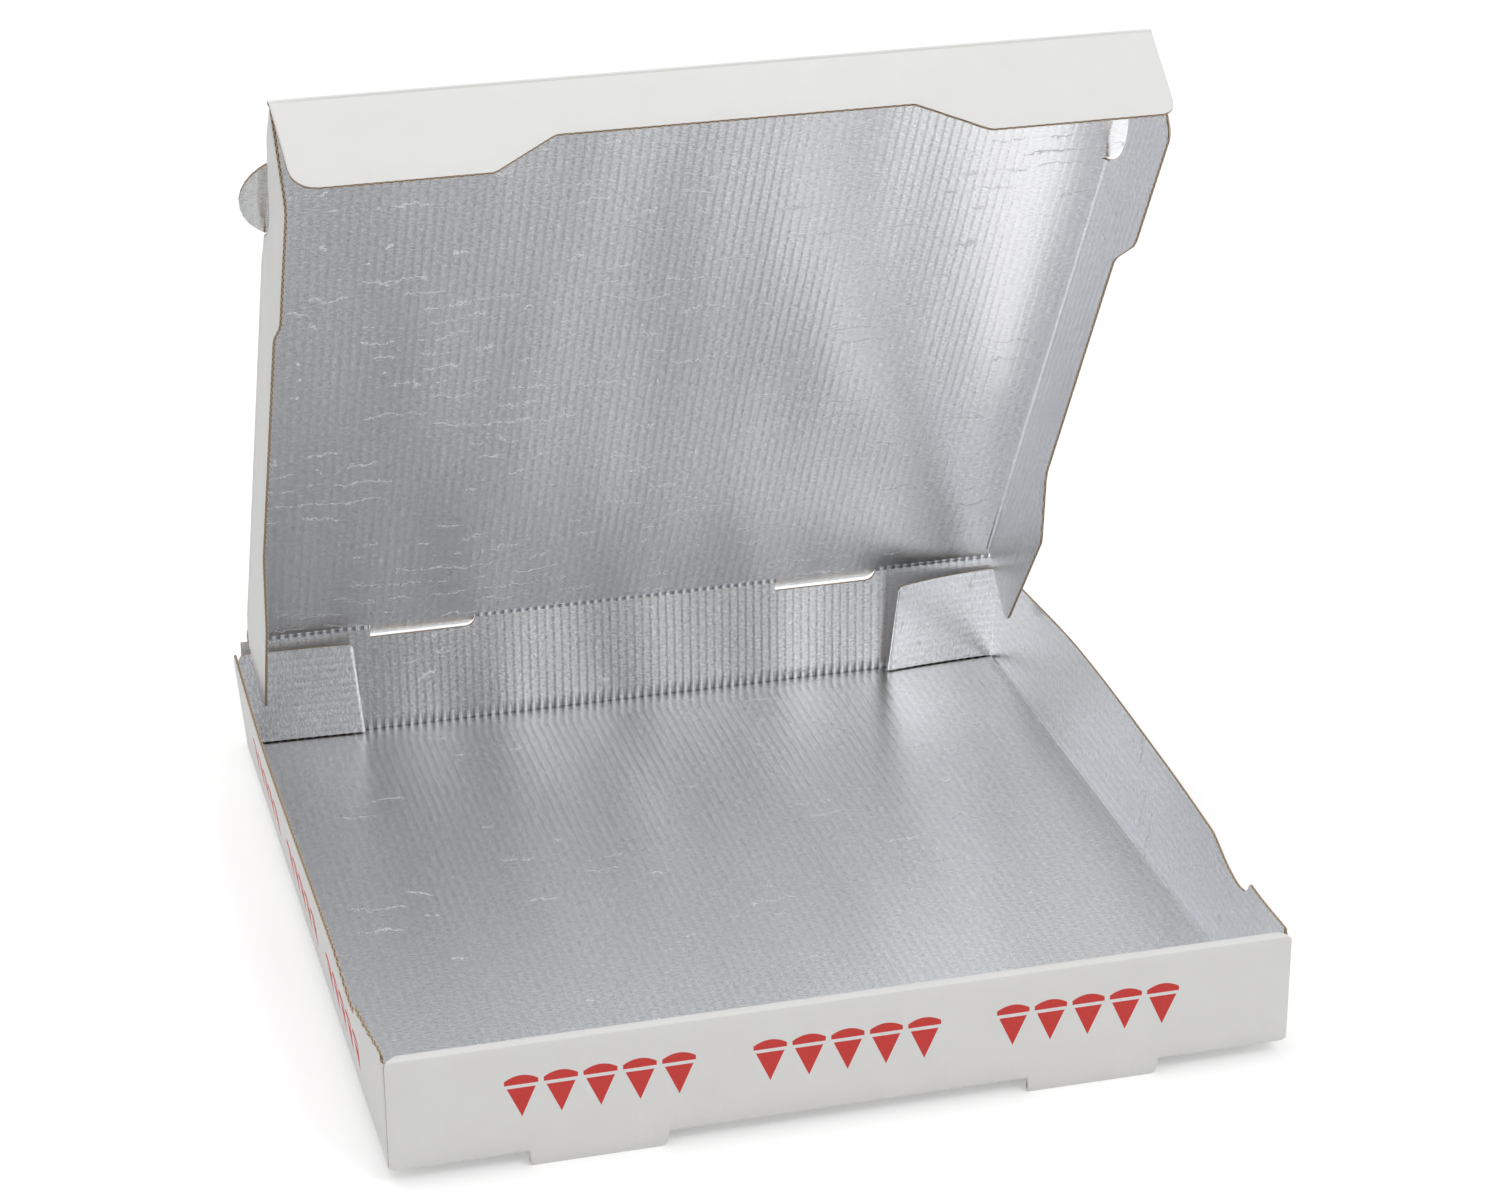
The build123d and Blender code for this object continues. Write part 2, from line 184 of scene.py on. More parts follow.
def foil_material():
    """Aluminium foil, rolled and glued to the board. It mirrors softly, follows each
    flute as a fine ridge, and has cracked into thin bright creases where it was bent."""
    material, tree, shader = new_material("rolled_aluminium_foil")
    place, across, along = flat_coordinates(tree)
    wander = node(tree, "TexNoise", {"Vector": place, "Scale": 0.06, "Detail": 3.0})
    ridges = washboard(tree, across, wander)

    # Fine wrinkles of the rolled foil, lying across the flutes
    stretched = node(tree, "Mapping", {"Vector": place, "Scale": (0.5, 1.5, 1.0)})
    rolled = {"Vector": stretched, "Scale": 0.9, "Detail": 3.0, "Roughness": 0.7}
    grain = node(tree, "TexNoise", rolled)
    fleck = node(tree, "MapRange", {"Value": grain, "From Min": 0.35, "From Max": 0.65})

    wear = node(tree, "Attribute", attribute_name="wear").outputs["Fac"]
    along_lid = crack_rows(tree, place, across, along, 9.0, 0.9, wear)
    upright = crack_rows(tree, place, along, across, 14.0, 1.03, wear)
    fainter = node(tree, "Math", {0: upright, 1: 0.4}, operation="MULTIPLY")
    crack = node(tree, "Math", {0: along_lid, 1: fainter}, operation="MAXIMUM")

    # The board under it is not quite flat
    drawn = node(tree, "Mapping", {"Vector": place, "Scale": (0.018, 0.004, 1.0)})
    swell = node(tree, "TexNoise", {"Vector": drawn, "Scale": 1.0, "Detail": 1.0})
    # Each flute is crushed where the sheet folds, which leaves a row of dots
    crimp = node(tree, "Attribute", attribute_name="crimp").outputs["Fac"]
    relief = node(tree, "Math", {0: crimp, 1: 0.00013, 2: 0.000038}, operation="MULTIPLY_ADD")

    bump = node(tree, "Bump", {"Strength": 1.0, "Distance": 0.0021, "Height": swell})
    for distance, height in ((relief, ridges), (0.00015, grain), (0.0002, crack)):
        deeper = {"Strength": 1.0, "Distance": distance, "Height": height, "Normal": bump}
        bump = node(tree, "Bump", deeper)

    # Painted highlight: the colour is lighter on the flute tips, standing in for their reflections,
    # and it is darker where the wrinkle grain is low
    ridge_highlight = node(tree, "Math", {0: ridges, 1: 0.22}, operation="MULTIPLY")
    grain_and_ridge_highlight = node(tree, "Math", {0: fleck, 1: 0.78, 2: ridge_highlight}, operation="MULTIPLY_ADD")
    metal = {0: grain_and_ridge_highlight, 6: srgb("#DEE0E3"), 7: srgb("#FDFDFE")}
    tint = node(tree, "Mix", metal, data_type="RGBA")
    rough = node(tree, "MapRange", {"Value": grain, "To Min": 0.13, "To Max": 0.27})
    # A crack's torn facets scatter the light, so it shows as a fine white line
    frosted = node(tree, "Math", {0: crack, 1: 0.4, 2: rough}, operation="MULTIPLY_ADD")
    bright = node(tree, "Math", {0: crack, 1: -0.9, 2: 1.0}, operation="MULTIPLY_ADD")
    bare = node(tree, "Mix", {0: crack, 6: tint, 7: srgb("#FFFFFF")}, data_type="RGBA")
    # Painted shade: between the dots of a fold the colour is darkened in the crimped groove
    falling = {"From Min": 0.35, "From Max": 0.75, "To Min": 0.75, "To Max": 0.0}
    hollow = node(tree, "MapRange", {"Value": ridges, **falling})
    painted_groove_shade = node(tree, "Math", {0: crimp, 1: hollow}, operation="MULTIPLY")
    bare = node(tree, "Mix", {0: painted_groove_shade, 6: bare, 7: srgb("#6A6E78")}, data_type="RGBA")
    plug(tree, shader, {"Base Color": bare, "Metallic": bright})
    plug(tree, shader, {"Roughness": frosted, "Normal": bump})
    return material


def liner_colour(tree, place):
    """The coated liner's white, with the faint cloudiness of its paper."""
    cloudy = {"Vector": place, "Scale": 0.05, "Detail": 5.0, "Roughness": 0.6}
    cloud = node(tree, "TexNoise", cloudy)
    paper = {0: cloud, 6: srgb("#E3E2E0"), 7: srgb("#EBEBE9")}
    return node(tree, "Mix", paper, data_type="RGBA")


def finish_liner(tree, shader, place, across, colour):
    """The liner's smooth matt coat, over its fibres and a trace of the flutes."""
    matted = {"Vector": place, "Scale": 1.4, "Detail": 4.0, "Roughness": 0.7}
    fibre = node(tree, "TexNoise", matted)
    wander = node(tree, "TexNoise", {"Vector": place, "Scale": 0.05})
    ridges = washboard(tree, across, wander)
    bump = node(tree, "Bump", {"Strength": 1.0, "Distance": 0.000012, "Height": ridges})
    finer = {"Strength": 1.0, "Distance": 0.00002, "Height": fibre, "Normal": bump}
    bump = node(tree, "Bump", finer)
    rough = node(tree, "MapRange", {"Value": fibre, "To Min": 0.5, "To Max": 0.68})
    plug(tree, shader, {"Base Color": colour, "Roughness": rough, "Normal": bump, "IOR": 1.5})


def liner_material():
    """White coated liner of the board: matt, smooth, with a trace of the flutes."""
    material, tree, shader = new_material("white_coated_liner")
    place, across, _ = flat_coordinates(tree)
    finish_liner(tree, shader, place, across, liner_colour(tree, place))
    return material


def printed_liner_material(name, axis, groups, low, high):
    """The same liner with flexo-printed red wedges, a row of slices in each group."""
    material, tree, shader = new_material(name)
    place, across, _ = flat_coordinates(tree)
    spot = node(tree, "TexCoord").outputs["Object"]
    mm = node(tree, "VectorMath", {0: spot, "Scale": 1000.0}, operation="SCALE")
    split = node(tree, "SeparateXYZ", {0: mm})
    run, height = split.outputs[axis], split.outputs[2]
    span = {"Value": height, "From Min": low, "From Max": high}
    rising = node(tree, "MapRange", span, clamp=False)
    over_low = node(tree, "Math", {0: rising, 1: 0.0}, operation="GREATER_THAN")
    under_high = node(tree, "Math", {0: rising, 1: 1.0}, operation="LESS_THAN")
    inside_level = node(tree, "Math", {0: over_low, 1: under_high}, operation="MULTIPLY")
    half_width = node(tree, "Math", {0: rising, 1: 1.05}, operation="MULTIPLY")
    under_crust = node(tree, "Math", {0: rising, 1: 0.7}, operation="LESS_THAN")
    at_crust = node(tree, "Math", {0: rising, 1: 0.78}, operation="GREATER_THAN")
    mask = None
    for start, end in groups:
        span = {"Value": run, "From Min": start, "From Max": end, "To Max": SLICES}
        part = node(tree, "MapRange", span, clamp=False)
        past_start = node(tree, "Math", {0: part, 1: 0.0}, operation="GREATER_THAN")
        before_end = node(tree, "Math", {0: part, 1: SLICES}, operation="LESS_THAN")
        inside = node(tree, "Math", {0: past_start, 1: before_end}, operation="MULTIPLY")
        # Each slice is a wedge on its point, under a crust with a bowed top
        share = node(tree, "Math", {0: part}, operation="FRACT")
        turned = node(tree, "Math", {0: share, 1: 2.0, 2: -1.0}, operation="MULTIPLY_ADD")
        centred = node(tree, "Math", {0: turned}, operation="ABSOLUTE")
        narrow = node(tree, "Math", {0: centred, 1: half_width}, operation="LESS_THAN")
        in_wedge = node(tree, "Math", {0: narrow, 1: under_crust}, operation="MULTIPLY")
        squared = node(tree, "Math", {0: centred, 1: centred}, operation="MULTIPLY")
        bow = node(tree, "Math", {0: squared, 1: -0.16, 2: 1.0}, operation="MULTIPLY_ADD")
        under_bow = node(tree, "Math", {0: rising, 1: bow}, operation="LESS_THAN")
        in_crust = node(tree, "Math", {0: under_bow, 1: at_crust}, operation="MULTIPLY")
        crust_end = node(tree, "Math", {0: centred, 1: 0.86}, operation="LESS_THAN")
        in_crust = node(tree, "Math", {0: in_crust, 1: crust_end}, operation="MULTIPLY")
        wedge = node(tree, "Math", {0: in_wedge, 1: in_crust}, operation="MAXIMUM")
        slices = node(tree, "Math", {0: inside, 1: wedge}, operation="MULTIPLY")
        if mask:
            slices = node(tree, "Math", {0: mask, 1: slices}, operation="MAXIMUM")
        mask = slices
    mask = node(tree, "Math", {0: mask, 1: inside_level}, operation="MULTIPLY")
    speckle = node(tree, "TexNoise", {"Vector": place, "Scale": 0.9, "Detail": 3.0})
    reds = {0: speckle, 6: srgb("#C22E29"), 7: srgb("#D83C35")}
    ink = node(tree, "Mix", reds, data_type="RGBA")
    printed = {0: mask, 6: liner_colour(tree, place), 7: ink}
    colour = node(tree, "Mix", printed, data_type="RGBA")

    # Short cuts through the liner along the top fold, where the die perforates it
    pitches = node(tree, "Math", {0: run, 1: PERFORATION}, operation="DIVIDE")
    share = node(tree, "Math", {0: pitches}, operation="FRACT")
    cut = node(tree, "Math", {0: share, 1: 0.47}, operation="LESS_THAN")
    ends = None
    for start, end in ((-143.0, -90.0), (107.0, 143.0)):
        past_start = node(tree, "Math", {0: run, 1: start}, operation="GREATER_THAN")
        before_end = node(tree, "Math", {0: run, 1: end}, operation="LESS_THAN")
        stretch = node(tree, "Math", {0: past_start, 1: before_end}, operation="MULTIPLY")
        if ends:
            stretch = node(tree, "Math", {0: ends, 1: stretch}, operation="MAXIMUM")
        ends = stretch
    off_line = node(tree, "Math", {0: height, 1: 39.75}, operation="SUBTRACT")
    off_line = node(tree, "Math", {0: off_line}, operation="ABSOLUTE")
    on_line = node(tree, "Math", {0: off_line, 1: 0.2}, operation="LESS_THAN")
    cut = node(tree, "Math", {0: cut, 1: on_line}, operation="MULTIPLY")
    cut = node(tree, "Math", {0: cut, 1: ends}, operation="MULTIPLY")
    colour = node(tree, "Mix", {0: cut, 6: colour, 7: srgb("#54473B")}, data_type="RGBA")
    finish_liner(tree, shader, place, across, colour)
    return material


def edge_material():
    """Raw cut edge of E-flute: brown recycled fibre, the wave of the medium between its two liners,
    and a painted shade, dark brown, where the cut looks into a flute."""
    material, tree, shader = new_material("cut_kraft_edge")
    place, across, along = flat_coordinates(tree)
    layer = node(tree, "Attribute", attribute_name="layer").outputs["Fac"]
    run = node(tree, "Math", {0: across, 1: along}, operation="ADD")
    turned = node(tree, "Math", {0: run, 1: 2 * pi / FLUTE}, operation="MULTIPLY")
    wave = node(tree, "Math", {0: turned}, operation="SINE")
    middle = node(tree, "Math", {0: wave, 1: 0.3, 2: 0.5}, operation="MULTIPLY_ADD")
    off_medium = node(tree, "Math", {0: layer, 1: middle}, operation="SUBTRACT")
    off_medium = node(tree, "Math", {0: off_medium}, operation="ABSOLUTE")
    is_medium = node(tree, "Math", {0: off_medium, 1: 0.16}, operation="LESS_THAN")
    off_middle = node(tree, "Math", {0: layer, 1: 0.5}, operation="SUBTRACT")
    off_middle = node(tree, "Math", {0: off_middle}, operation="ABSOLUTE")
    is_liner = node(tree, "Math", {0: off_middle, 1: 0.36}, operation="GREATER_THAN")
    solid = node(tree, "Math", {0: is_medium, 1: is_liner}, operation="MAXIMUM")
    fibre = node(tree, "TexNoise", {"Vector": place, "Scale": 2.2, "Detail": 4.0})
    browns = {0: fibre, 6: srgb("#BBA58A"), 7: srgb("#DCCFBC")}
    kraft = node(tree, "Mix", browns, data_type="RGBA")
    # Painted shade: the open flutes between liners and medium get a dark brown
    colour = node(tree, "Mix", {0: solid, 6: srgb("#75614C"), 7: kraft}, data_type="RGBA")
    bump = node(tree, "Bump", {"Strength": 1.0, "Distance": 0.0002, "Height": solid})
    plug(tree, shader, {"Base Color": colour, "Normal": bump, "Roughness": 0.9})
    return material


SLICES = 5.0  # in each printed group
PERFORATION = 6.0  # from one cut to the next
foil = foil_material()
liner = liner_material()
edge = edge_material()
front_groups = ((-113.5, -50.0), (-33.0, 31.0), (48.0, 112.0))
front_print = printed_liner_material(
    "white_liner_printed_front", 0, front_groups, low=14.0, high=29.0
)
side_groups = ((-119.0, -55.0), (-36.0, 28.0), (47.0, 111.0))
side_print = printed_liner_material(
    "white_liner_printed_side", 1, side_groups, low=12.0, high=27.0
)


# ------------------------------------------------------------------- sheets


def spread(*stops, cell=CELL):
    """Line positions through every stop, with even cells between them."""
    stops = sorted(set(stops))
    lines = [stops[0]]
    for low, high in zip(stops, stops[1:]):
        count = max(1, round((high - low) / cell))
        lines += [low + (high - low) * k / count for k in range(1, count + 1)]
    return lines


def lay_sheet(name, across, along):
    """A flat sheet of board, foil side up, gridded at these places in millimetres."""
    bpy.ops.object.select_all(action="DESELECT")
    bpy.ops.mesh.primitive_grid_add(
        x_subdivisions=len(across) - 1, y_subdivisions=len(along) - 1, size=2
    )
    sheet = bpy.context.object
    sheet.name = name
    width = len(across)
    for index, vertex in enumerate(sheet.data.vertices):
        vertex.co = (across[index % width], along[index // width], 0)
    return sheet


def trim(sheet, keep):
    """Cuts away every face whose middle isn't kept."""
    bpy.ops.object.mode_set(mode="EDIT")
    bpy.ops.mesh.select_mode(type="FACE")
    bpy.ops.mesh.select_all(action="DESELECT")
    bpy.ops.object.mode_set(mode="OBJECT")
    for face in sheet.data.polygons:
        face.select = not keep(face.center.x, face.center.y)
    bpy.ops.object.mode_set(mode="EDIT")
    bpy.ops.mesh.delete(type="FACE")
    bpy.ops.object.mode_set(mode="OBJECT")


def shape(sheet, move):
    """Moves each vertex of the flat sheet in its plane, to the cut outline."""
    for vertex in sheet.data.vertices:
        vertex.co.x, vertex.co.y = move(vertex.co.x, vertex.co.y)


def mark_flat(sheet):
    """Keeps where each point lies on the flat blank, for flutes, foil and edge."""
    layer = sheet.data.uv_layers.get("flat") or sheet.data.uv_layers[0]
    layer.name = "flat"
    for loop in sheet.data.loops:
        place = sheet.data.vertices[loop.vertex_index].co
        layer.data[loop.index].uv = (place.x * MM, place.y * MM)


def fold(sheet, place):
    """Folds the flat sheet: place gives each point's position in millimetres."""
    for vertex in sheet.data.vertices:
        vertex.co = Vector(place(vertex.co.x, vertex.co.y)) * MM


def face_foil(sheet, inward):
    """Turns the sheet over if its foil side doesn't look inward."""
    if sheet.data.polygons[0].normal.dot(inward) < 0:
        bpy.ops.object.mode_set(mode="EDIT")
        bpy.ops.mesh.select_all(action="SELECT")
        bpy.ops.mesh.flip_normals()
        bpy.ops.object.mode_set(mode="OBJECT")


def join(name, sheets):
    """One sheet out of several whose edges meet."""
    bpy.ops.object.select_all(action="DESELECT")
    for sheet in sheets:
        sheet.select_set(True)
    bpy.context.view_layer.objects.active = sheets[0]
    bpy.ops.object.join()
    whole = bpy.context.object
    whole.name = name
    bpy.ops.object.mode_set(mode="EDIT")
    bpy.ops.mesh.select_all(action="SELECT")
    bpy.ops.mesh.remove_doubles(threshold=0.02 * MM)
    bpy.ops.object.mode_set(mode="OBJECT")
    return whole


def soften(sheet, is_fold):
    """Rounds the folds: edges with both ends on a fold line."""
    bpy.ops.object.select_all(action="DESELECT")
    sheet.select_set(True)
    bpy.context.view_layer.objects.active = sheet
    bpy.ops.object.mode_set(mode="EDIT")
    bpy.ops.mesh.select_mode(type="EDGE")
    bpy.ops.mesh.select_all(action="DESELECT")
    bpy.ops.object.mode_set(mode="OBJECT")
    for rim in sheet.data.edges:
        a, b = (sheet.data.vertices[i].co / MM for i in rim.vertices)
        rim.select = is_fold(a) and is_fold(b) and is_fold((a + b) / 2)
    bpy.ops.object.mode_set(mode="EDIT")
    bpy.ops.mesh.bevel(offset=0.5 * MM, segments=2, affect="EDGES")
    bpy.ops.object.mode_set(mode="OBJECT")


def thicken(sheet, wear, creased=lambda p: False, crushed=()):
    """Gives the sheet the board's thickness behind its foil, with raw edges.

    Creased tells where the flutes show as dots. Points in crushed lie on a crease,
    where the rule has pressed the board thinner.
    """
    for material in (foil, liner, edge):
        sheet.data.materials.append(material)
    bpy.ops.object.select_all(action="DESELECT")
    sheet.select_set(True)
    bpy.context.view_layer.objects.active = sheet
    face_count = len(sheet.data.vertices)
    # A die crushes the board a little where it cuts, and a rule where it creases
    at_cut, at_crease = 0.72, 0.82
    sides = {}
    for polygon in sheet.data.polygons:
        for key in polygon.edge_keys:
            sides[key] = sides.get(key, 0) + 1
    cut = {index for key, count in sides.items() if count == 1 for index in key}
    group = sheet.vertex_groups.new(name="board")
    group.add(sorted(set(range(face_count)) - cut), 1.0, "REPLACE")
    group.add(crushed, at_crease, "REPLACE")
    group.add(sorted(cut), at_cut, "REPLACE")
    solid = sheet.modifiers.new("board", "SOLIDIFY")
    solid.thickness = BOARD * MM
    solid.offset = -1.0
    solid.vertex_group = group.name
    solid.use_even_offset = True
    solid.material_offset = 1
    solid.material_offset_rim = 2
    bpy.ops.object.modifier_apply(modifier=solid.name)
    crimp = sheet.data.attributes.new("crimp", "FLOAT", "POINT")
    for index, vertex in enumerate(sheet.data.vertices):
        crimp.data[index].value = float(creased(vertex.co / MM))
    worn = sheet.data.attributes.new("wear", "FLOAT", "POINT")
    for entry in worn.data:
        entry.value = wear
    layer = sheet.data.attributes.new("layer", "FLOAT", "POINT")
    for index in range(len(sheet.data.vertices)):
        layer.data[index].value = 0.0 if index < face_count else 1.0
    bpy.ops.object.shade_smooth_by_angle(angle=radians(38))


def ear_rise(u, start=EAR[0], end=EAR[1], reach=EAR_REACH):
    """Height of the half-moon over its chord."""
    half = (end - start) / 2
    radius = (half * half + reach * reach) / (2 * reach)
    off = min(abs(u - (start + end) / 2), half)
    return sqrt(radius * radius - off * off) - (radius - reach)


def round_off(distance, radius):
    """How far an edge draws back at this distance from a corner of this radius."""
    if distance >= radius:
        return 0.0
    return radius - sqrt(max(0.0, radius * radius - (radius - distance) ** 2))


def along_stops(value, stops, heights):
    """Straight lines between given heights."""
    if value <= stops[0]:
        return heights[0]
    for (a, b), (low, high) in zip(zip(stops, stops[1:]), zip(heights, heights[1:])):
        if value <= b:
            return low + (high - low) * (value - a) / (b - a)
    return heights[-1]


def smooth_stops(value, stops, heights):
    """A smooth curve through given heights."""
    if value <= stops[0]:
        return heights[0]
    for k in range(len(stops) - 1):
        if value <= stops[k + 1]:
            p = (value - stops[k]) / (stops[k + 1] - stops[k])
            before = heights[max(k - 1, 0)]
            after = heights[min(k + 2, len(heights) - 1)]
            a, b = heights[k], heights[k + 1]
            cubic = 3 * (a - b) + after - before
            square = 2 * before - 5 * a + 4 * b - after
            return a + 0.5 * p * (b - before + p * (square + p * cubic))
    return heights[-1]


# --------------------------------------------------------------------- tray

SIDE_FRONT = -HALF_D + 2 * BOARD + LAYER_GAP  # foil face of the caught front tab
SIDE_REAR = HALF_D - 2 * BOARD - LAYER_GAP  # foil face of the rear corner tab
NOTCH_AT = (36.0, 37.3, 40.4, 47.0, 54.0, 61.0, 68.0, 75.0)
NOTCH_TOP = (40.0, 37.6, 35.2, 34.0, 34.7, 36.2, 38.2, 40.0)
TAB = 44.0  # length of each corner tab


def wall_lean(side, y):
    """How far the top edge of a side wall leans out."""
    end = BOARD + LAYER_GAP
    share = (y + HALF_D - end) / (2 * HALF_D - 2 * end)
    return smooth_stops(share, BOW_AT, RIGHT_BOW if side > 0 else LEFT_BOW)


def wall_top(y):
    """Cut edge of a side wall, with the ear's notch."""
    if y < -HALF_D + FRONT_LAYERS + LAYER_GAP:
        return WALL - BOARD - LAYER_GAP
    from_front = y + HALF_D
    if NOTCH_AT[0] < from_front < NOTCH_AT[-1]:
        return smooth_stops(from_front, NOTCH_AT, NOTCH_TOP)
    return WALL


slot_stops = []
turns = [SLOT_RADIUS * sin(radians(k)) for k in (0, 20, 40, 55, 68, 80, 90)]
for start, end in ((-SLOT[1], -SLOT[0]), SLOT):
    slot_stops += [start - 0.05, start, *(end - SLOT_RADIUS + turn for turn in turns)]
tongue_stops = []
for start, end in ((-TONGUE[1], -TONGUE[0]), TONGUE):
    tongue_stops += [start, start + 0.4, start + 1.2, end - 3.0, end - 1.5, end - 0.5, end]
RISES = (0.0, 1.5, 6.5, 11.5, 16.5, 21.5, 26.5, 31.5, 36.0, RISE)
side_stops = [side * (INNER_W + rise) for side in (-1, 1) for rise in RISES]
across = spread(*side_stops, *slot_stops, *tongue_stops)
# The notch's first curve is the tightest
notch_stops = (36.0, 37.3, 38.6, 40.4, 42.6, 44.8, 47.0, 75.0)
front_stops = (FRONT_LAYERS + 0.15, FRONT_LAYERS + 0.25, BOARD + SLOT_DEPTH, *notch_stops)
along = spread(
    -INNER_D,
    SIDE_FRONT,
    *(-HALF_D + stop for stop in front_stops),
    SIDE_REAR - 1.5,
    SIDE_REAR,
    INNER_D,
)
floor_and_sides = lay_sheet("tray_board", across, along)


def in_floor_and_sides(s, t):
    """The blank's cross, without the slots that the front tongues leave."""
    if abs(s) > INNER_W:
        return SIDE_FRONT < t < SIDE_REAR
    return not (TONGUE[0] < abs(s) < TONGUE[1] and t < -INNER_D + SLOT_DEPTH)


def side_wall_point(side, y, up):
    """Foil face of a side wall, at this height over the bottom."""
    return side * (INNER_W + wall_lean(side, y) * up / RISE), y, BOARD + up


def floor_and_sides_outline(s, t):
    """Draws the side walls in to their cut edge."""
    rise = abs(s) - INNER_W
    if rise <= 0:
        return s, t
    up = rise / RISE * (wall_top(t) - BOARD)
    return (INNER_W + up if s > 0 else -INNER_W - up), t


def fold_floor_and_sides(s, t):
    rise = abs(s) - INNER_W
    if rise <= 0:
        return s, t, BOARD
    return side_wall_point(1 if s > 0 else -1, t, rise)


trim(floor_and_sides, in_floor_and_sides)
shape(floor_and_sides, floor_and_sides_outline)
mark_flat(floor_and_sides)
fold(floor_and_sides, fold_floor_and_sides)


def corner_tab(side, end):
    """The tab that a side wall carries round its front or rear corner."""
    corner = SIDE_REAR if end > 0 else SIDE_FRONT
    runs = [0.0, 1.0, 2.0, 3.0, 4.0, *range(8, 39, 5), 42.0, TAB - 1.0, TAB - 0.5, TAB]
    turn = radians(1.5 if end > 0 else 0.0)
    # The right rear tab has sprung off the wall, most at its top
    spring = 6.0 if side > 0 and end > 0 else 1.0 if end > 0 else 0.0
    sheet = lay_sheet(
        "corner_tab",
        sorted(side * (INNER_W + rise) for rise in RISES),
        sorted(corner + end * run for run in runs),
    )

    def outline(s, t):
        run = abs(t - corner)
        foot = 0.3 * min(run, 2.0)
        top = wall_top(corner) - BOARD
        if end > 0 and run > 0:
            top -= 0.4 + round_off(run, 4.0) + round_off(TAB - run, 1.5)
        return side * (INNER_W + foot + (abs(s) - INNER_W) / RISE * (top - foot)), t

    def place(s, t):
        run = abs(t - corner)
        x, y, z = side_wall_point(side, corner, abs(s) - INNER_W)
        off = spring * (run / TAB) ** 2.2 * (0.35 + 0.65 * (z - BOARD) / RISE)
        if end > 0:
            off -= 0.45 * max(0.0, run - TAB + 1.0) ** 2
        return x - side * (run * cos(turn) - off * off / 150), y - run * sin(turn) - off, z

    shape(sheet, outline)
    mark_flat(sheet)
    fold(sheet, place)
    return sheet


def slot_profile(x, low, high, start, end, radius):
    """Edge with a slot from start to end: square on the left, round on the right."""
    if not start <= x <= end:
        return high
    if x > end - radius:
        return min(high, low + radius - sqrt(max(0.0, radius * radius - (x - end + radius) ** 2)))
    return low


def rear_top(x):
    """Top of the rear wall, with the two slots that the lid's tongues left."""
    if x < 0:
        start, end = -SLOT[1], -SLOT[0]
    else:
        start, end = SLOT
    return slot_profile(x, HINGE - SLOT_DEPTH, HINGE - HINGE_MARGIN, start, end, SLOT_RADIUS)


def lines_within(end):
    """The tray's lines between the two ends of its front or rear wall."""
    return [-end, *(s for s in across if abs(s) < end), end]


rear_levels = [INNER_D + HINGE * k / 8 for k in range(9)]
rear = lay_sheet("rear_wall", lines_within(HALF_W - 0.2), rear_levels)
shape(rear, lambda s, t: (s, INNER_D + (t - INNER_D) / HINGE * (rear_top(s) - BOARD)))
mark_flat(rear)
fold(rear, lambda s, t: (s, INNER_D, BOARD + t - INNER_D))

# Front wall: up, over the two layers of board, and down inside
FOLD_ONE = INNER_D + WALL - 2 * BOARD
FOLD_TWO = FOLD_ONE + STRIP
front_end = HALF_W - 0.1
front_levels = spread(
    INNER_D, INNER_D + 18.0, FOLD_ONE, FOLD_TWO, FOLD_TWO + 4.0, FOLD_TWO + INNER_PANEL
)
front = lay_sheet("front_wall", lines_within(front_end), [-t for t in reversed(front_levels)])


def front_outline(s, t):
    """Draws the ends of the top strip and the inner panel in between the side walls."""
    past = -t - FOLD_ONE
    near_end = 140.0
    if past <= 0 or abs(s) < near_end:
        return s, t
    end = HALF_W - min(past, STRIP) / STRIP * (4.0 if s < 0 else 3.2)
    if past > STRIP:
        end = min(INNER_W - 0.8, end + (past - STRIP) * 0.5)
    run = near_end + (abs(s) - near_end) * (end - near_end) / (front_end - near_end)
    return (run if s > 0 else -run), t


def fold_front(s, t):
    past = -t
    if past <= FOLD_ONE:
        return s, -INNER_D, BOARD + past - INNER_D
    if past <= FOLD_TWO:
        return s, -INNER_D + past - FOLD_ONE, WALL - BOARD
    return s, -INNER_D + STRIP, WALL - BOARD - (past - FOLD_TWO)


shape(front, front_outline)
mark_flat(front)
fold(front, fold_front)


def tongue_sheet(start, end):
    """A tongue of the front wall that stands down past the bottom."""
    lines = [s for s in across if start <= s <= end]
    sheet = lay_sheet("tongue", lines, [-INNER_D + TONGUE_DROP * k / 3 for k in range(4)])

    def outline(s, t):
        left, right = TONGUE_RADII
        drop = TONGUE_DROP - round_off(s - start, left) - round_off(end - s, right)
        return s, -INNER_D + (t + INNER_D) / TONGUE_DROP * drop

    shape(sheet, outline)
    mark_flat(sheet)
    fold(sheet, lambda s, t: (s, -INNER_D, BOARD - (t + INNER_D)))
    return sheet


tongues = [tongue_sheet(-TONGUE[1], -TONGUE[0]), tongue_sheet(*TONGUE)]
tabs = [corner_tab(side, end) for side in (-1, 1) for end in (-1, 1)]
tray = join("tray_board", [floor_and_sides, rear, front, *tabs, *tongues])


def on_tray_fold(p):
    """The folds round the bottom, along the front wall's top and up the corners."""

    def near(value, *folds):
        return min(abs(value - at) for at in folds) < 0.05

    at_foot = near(p.z, BOARD) and (near(abs(p.x), INNER_W) or near(abs(p.y), INNER_D))
    at_top = near(p.z, WALL - BOARD) and near(p.y, -INNER_D, -INNER_D + STRIP)
    at_corner = abs(p.x) > INNER_W - 0.05 and near(p.y, SIDE_REAR, SIDE_FRONT)
    return at_foot or at_top or at_corner


def near_rear_fold(p):
    near = 0.7
    return p.z - BOARD < near and abs(p.y - INNER_D) < near


soften(tray, on_tray_fold)
thicken(tray, 0.4, near_rear_fold)
